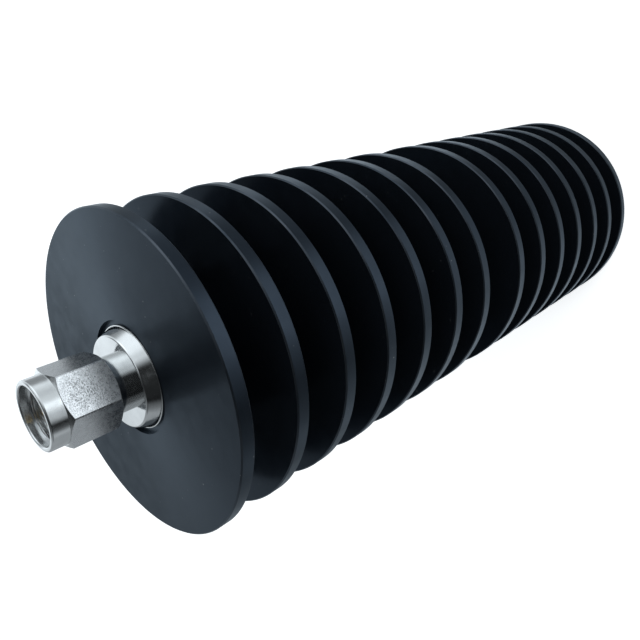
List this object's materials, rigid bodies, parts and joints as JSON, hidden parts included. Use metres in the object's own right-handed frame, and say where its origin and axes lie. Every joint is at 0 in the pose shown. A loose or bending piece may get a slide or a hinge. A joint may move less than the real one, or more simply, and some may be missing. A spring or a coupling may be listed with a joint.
{
  "type": "rf dummy load",
  "caption": "Coaxial dummy load: a black finned heat sink, turned in one piece, around a resistor card, with a captive-nut coaxial plug that ends a radio-frequency line.",
  "frame": {"origin": "centre of the heat sink's rear face, on which the part stands", "axes": "+Z along the coaxial axis, from the rear face towards the plug; a corner of the nut's hexagon lies on +X at rest; the resistor card lies across Y"},
  "size_m": [0.0381, 0.038, 0.1123],
  "materials": {
    "black_anodised": "black anodised, semi-gloss, fine turning marks",
    "polished_stainless": "polished, turned",
    "satin_stainless": "passivated, grainy flats and a turned collar",
    "spring_bronze": "plain",
    "silicone": "matt",
    "gold_plate": "gold plated",
    "white_insulator": "waxy white",
    "copper": "machined copper",
    "ceramic": "fired, with a film on one face",
    "screw_steel": "black oxide"
  },
  "bodies": {
    "load": {"heat_sink": "black_anodised", "plug_body": "polished_stainless", "retaining_ring": "spring_bronze", "gasket": "silicone", "centre_contact": "gold_plate", "front_insulator": "white_insulator", "rear_bead": "white_insulator", "load_carrier": "copper", "carrier_cap": "copper", "resistor_card": "ceramic", "input_strip": "gold_plate", "carrier_screws": "screw_steel"},
    "nut": {"coupling_nut": "satin_stainless"}
  },
  "joints": [
    {"name": "nut_spin", "type": "hinge", "parent": "load", "child": "nut", "pos_m": [0, 0, 0.1085], "axis": [0, 0, 1], "continuous": true}
  ]
}
